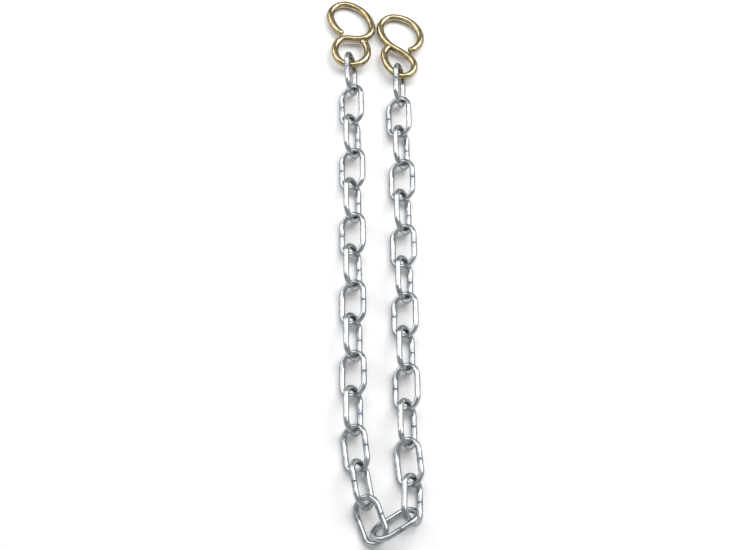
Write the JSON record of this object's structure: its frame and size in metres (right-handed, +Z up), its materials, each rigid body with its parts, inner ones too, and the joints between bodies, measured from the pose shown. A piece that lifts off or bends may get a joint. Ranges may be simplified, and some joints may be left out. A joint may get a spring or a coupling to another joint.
{
  "type": "trailer safety chain",
  "caption": "Light welded-link trailer safety chain, laid in a narrow U, with an S-hook on each free end to hook onto the tow vehicle and the coupler.",
  "frame": {"origin": "on the floor, below the middle of the laid chain", "axes": "+Z up from the floor; +Y along the strands, from the bend towards the hooks; +X from the left strand to the right"},
  "size_m": [0.0907, 0.5337, 0.0245],
  "materials": {
    "bright_zinc": "bright zinc plate on steel wire",
    "yellow_zinc": "yellow zinc plate on steel wire"
  },
  "bodies": {
    "bottom_link": {"bottom_link": "bright_zinc"},
    "left_link_14": {"left_link_14": "bright_zinc"},
    "left_link_13": {"left_link_13": "bright_zinc"},
    "left_link_12": {"left_link_12": "bright_zinc"},
    "left_link_11": {"left_link_11": "bright_zinc"},
    "left_link_10": {"left_link_10": "bright_zinc"},
    "left_link_09": {"left_link_09": "bright_zinc"},
    "left_link_08": {"left_link_08": "bright_zinc"},
    "left_link_07": {"left_link_07": "bright_zinc"},
    "left_link_06": {"left_link_06": "bright_zinc"},
    "left_link_05": {"left_link_05": "bright_zinc"},
    "left_link_04": {"left_link_04": "bright_zinc"},
    "left_link_03": {"left_link_03": "bright_zinc"},
    "left_link_02": {"left_link_02": "bright_zinc"},
    "left_link_01": {"left_link_01": "bright_zinc"},
    "left_s_hook": {"left_s_hook": "yellow_zinc"},
    "right_link_13": {"right_link_13": "bright_zinc"},
    "right_link_12": {"right_link_12": "bright_zinc"},
    "right_link_11": {"right_link_11": "bright_zinc"},
    "right_link_10": {"right_link_10": "bright_zinc"},
    "right_link_09": {"right_link_09": "bright_zinc"},
    "right_link_08": {"right_link_08": "bright_zinc"},
    "right_link_07": {"right_link_07": "bright_zinc"},
    "right_link_06": {"right_link_06": "bright_zinc"},
    "right_link_05": {"right_link_05": "bright_zinc"},
    "right_link_04": {"right_link_04": "bright_zinc"},
    "right_link_03": {"right_link_03": "bright_zinc"},
    "right_link_02": {"right_link_02": "bright_zinc"},
    "right_link_01": {"right_link_01": "bright_zinc"},
    "right_s_hook": {"right_s_hook": "yellow_zinc"}
  },
  "joints": [
    {"name": "left_link_14_pivot", "type": "hinge", "parent": "bottom_link", "child": "left_link_14", "pos_m": [0.00191, -0.26267, 0.01354], "axis": [0.7338, -0.3345, 0.5913], "range_deg": [-15, 40]},
    {"name": "left_link_13_pivot", "type": "hinge", "parent": "left_link_14", "child": "left_link_13", "pos_m": [-0.0055, -0.22726, 0.0108], "axis": [0.8541, -0.2382, 0.4623], "range_deg": [-75, 75]},
    {"name": "left_link_12_pivot", "type": "hinge", "parent": "left_link_13", "child": "left_link_12", "pos_m": [-0.01074, -0.19876, 0.00812], "axis": [-0.5769, 0.4202, 0.7004], "range_deg": [-75, 75]},
    {"name": "left_link_11_pivot", "type": "hinge", "parent": "left_link_12", "child": "left_link_11", "pos_m": [-0.01606, -0.16637, 0.00992], "axis": [-0.8217, 0.2002, -0.5336], "range_deg": [-75, 75]},
    {"name": "left_link_10_pivot", "type": "hinge", "parent": "left_link_11", "child": "left_link_10", "pos_m": [-0.01612, -0.13406, 0.00757], "axis": [0.4961, -0.4022, -0.7695], "range_deg": [-75, 5]},
    {"name": "left_link_09_pivot", "type": "hinge", "parent": "left_link_10", "child": "left_link_09", "pos_m": [-0.01653, -0.1004, 0.01001], "axis": [0.8432, -0.2351, 0.4835], "range_deg": [-75, 75]},
    {"name": "left_link_08_pivot", "type": "hinge", "parent": "left_link_09", "child": "left_link_08", "pos_m": [-0.01681, -0.0679, 0.00761], "axis": [-0.4853, 0.4023, 0.7763], "range_deg": [-10, 75]},
    {"name": "left_link_07_pivot", "type": "hinge", "parent": "left_link_08", "child": "left_link_07", "pos_m": [-0.01716, -0.03424, 0.00989], "axis": [-0.8482, 0.235, -0.4747], "range_deg": [-75, 75]},
    {"name": "left_link_06_pivot", "type": "hinge", "parent": "left_link_07", "child": "left_link_06", "pos_m": [-0.01736, -0.00187, 0.00742], "axis": [0.4684, -0.4287, -0.7726], "range_deg": [-75, 0]},
    {"name": "left_link_05_pivot", "type": "hinge", "parent": "left_link_06", "child": "left_link_05", "pos_m": [-0.01779, 0.03192, 0.00978], "axis": [0.8531, -0.235, 0.4658], "range_deg": [-75, 75]},
    {"name": "left_link_04_pivot", "type": "hinge", "parent": "left_link_05", "child": "left_link_04", "pos_m": [-0.01792, 0.06415, 0.00723], "axis": [-0.4513, 0.4547, 0.7678], "range_deg": [0, 75]},
    {"name": "left_link_03_pivot", "type": "hinge", "parent": "left_link_04", "child": "left_link_03", "pos_m": [-0.01842, 0.09807, 0.00966], "axis": [-0.858, 0.2349, -0.4569], "range_deg": [-75, 75]},
    {"name": "left_link_02_pivot", "type": "hinge", "parent": "left_link_03", "child": "left_link_02", "pos_m": [-0.01987, 0.13121, 0.00948], "axis": [0.4815, -0.2104, -0.8508], "range_deg": [-75, 0]},
    {"name": "left_link_01_pivot", "type": "hinge", "parent": "left_link_02", "child": "left_link_01", "pos_m": [-0.02121, 0.16501, 0.01024], "axis": [0.8376, -0.0576, 0.5432], "range_deg": [0, 75]},
    {"name": "left_s_hook_pivot", "type": "hinge", "parent": "left_link_01", "child": "left_s_hook", "pos_m": [-0.01966, 0.19069, 0.00917], "axis": [-0.9901, -0.1402, 0.0115], "range_deg": [-75, 75]},
    {"name": "right_link_13_pivot", "type": "hinge", "parent": "bottom_link", "child": "right_link_13", "pos_m": [0.02963, -0.24959, 0.01713], "axis": [0.6896, 0.7004, -0.1841], "range_deg": [-30, 15]},
    {"name": "right_link_12_pivot", "type": "hinge", "parent": "right_link_13", "child": "right_link_12", "pos_m": [0.03216, -0.21042, 0.0073], "axis": [0.5425, -0.4165, -0.7295], "range_deg": [-5, 75]},
    {"name": "right_link_11_pivot", "type": "hinge", "parent": "right_link_12", "child": "right_link_11", "pos_m": [0.02909, -0.1783, 0.01015], "axis": [-0.8131, 0.3762, -0.4442], "range_deg": [-75, 75]},
    {"name": "right_link_10_pivot", "type": "hinge", "parent": "right_link_11", "child": "right_link_10", "pos_m": [0.02809, -0.14576, 0.00757], "axis": [-0.4965, 0.4017, 0.7695], "range_deg": [-75, 5]},
    {"name": "right_link_09_pivot", "type": "hinge", "parent": "right_link_10", "child": "right_link_09", "pos_m": [0.02765, -0.11209, 0.01001], "axis": [0.8434, -0.2342, 0.4835], "range_deg": [-75, 75]},
    {"name": "right_link_08_pivot", "type": "hinge", "parent": "right_link_09", "child": "right_link_08", "pos_m": [0.02734, -0.0796, 0.00761], "axis": [0.4857, -0.4018, -0.7763], "range_deg": [-5, 75]},
    {"name": "right_link_07_pivot", "type": "hinge", "parent": "right_link_08", "child": "right_link_07", "pos_m": [0.02695, -0.04594, 0.00989], "axis": [-0.8484, 0.2342, -0.4747], "range_deg": [-75, 75]},
    {"name": "right_link_06_pivot", "type": "hinge", "parent": "right_link_07", "child": "right_link_06", "pos_m": [0.02672, -0.01357, 0.00742], "axis": [-0.4688, 0.4282, 0.7726], "range_deg": [-75, 0]},
    {"name": "right_link_05_pivot", "type": "hinge", "parent": "right_link_06", "child": "right_link_05", "pos_m": [0.02626, 0.02022, 0.00978], "axis": [0.8534, -0.2341, 0.4658], "range_deg": [-75, 75]},
    {"name": "right_link_04_pivot", "type": "hinge", "parent": "right_link_05", "child": "right_link_04", "pos_m": [0.02609, 0.05245, 0.00723], "axis": [0.4518, -0.4543, -0.7678], "range_deg": [0, 75]},
    {"name": "right_link_03_pivot", "type": "hinge", "parent": "right_link_04", "child": "right_link_03", "pos_m": [0.02556, 0.08637, 0.00966], "axis": [-0.8582, 0.2341, -0.4569], "range_deg": [0, 75]},
    {"name": "right_link_02_pivot", "type": "hinge", "parent": "right_link_03", "child": "right_link_02", "pos_m": [0.02407, 0.11951, 0.00948], "axis": [-0.4817, 0.21, 0.8508], "range_deg": [-75, 0]},
    {"name": "right_link_01_pivot", "type": "hinge", "parent": "right_link_02", "child": "right_link_01", "pos_m": [0.02329, 0.15238, 0.01038], "axis": [0.8339, -0.2567, 0.4885], "range_deg": [-75, 0]},
    {"name": "right_s_hook_pivot", "type": "hinge", "parent": "right_link_01", "child": "right_s_hook", "pos_m": [0.02395, 0.17812, 0.00898], "axis": [0.9902, -0.1391, 0.0114], "range_deg": [-75, 75]}
  ]
}
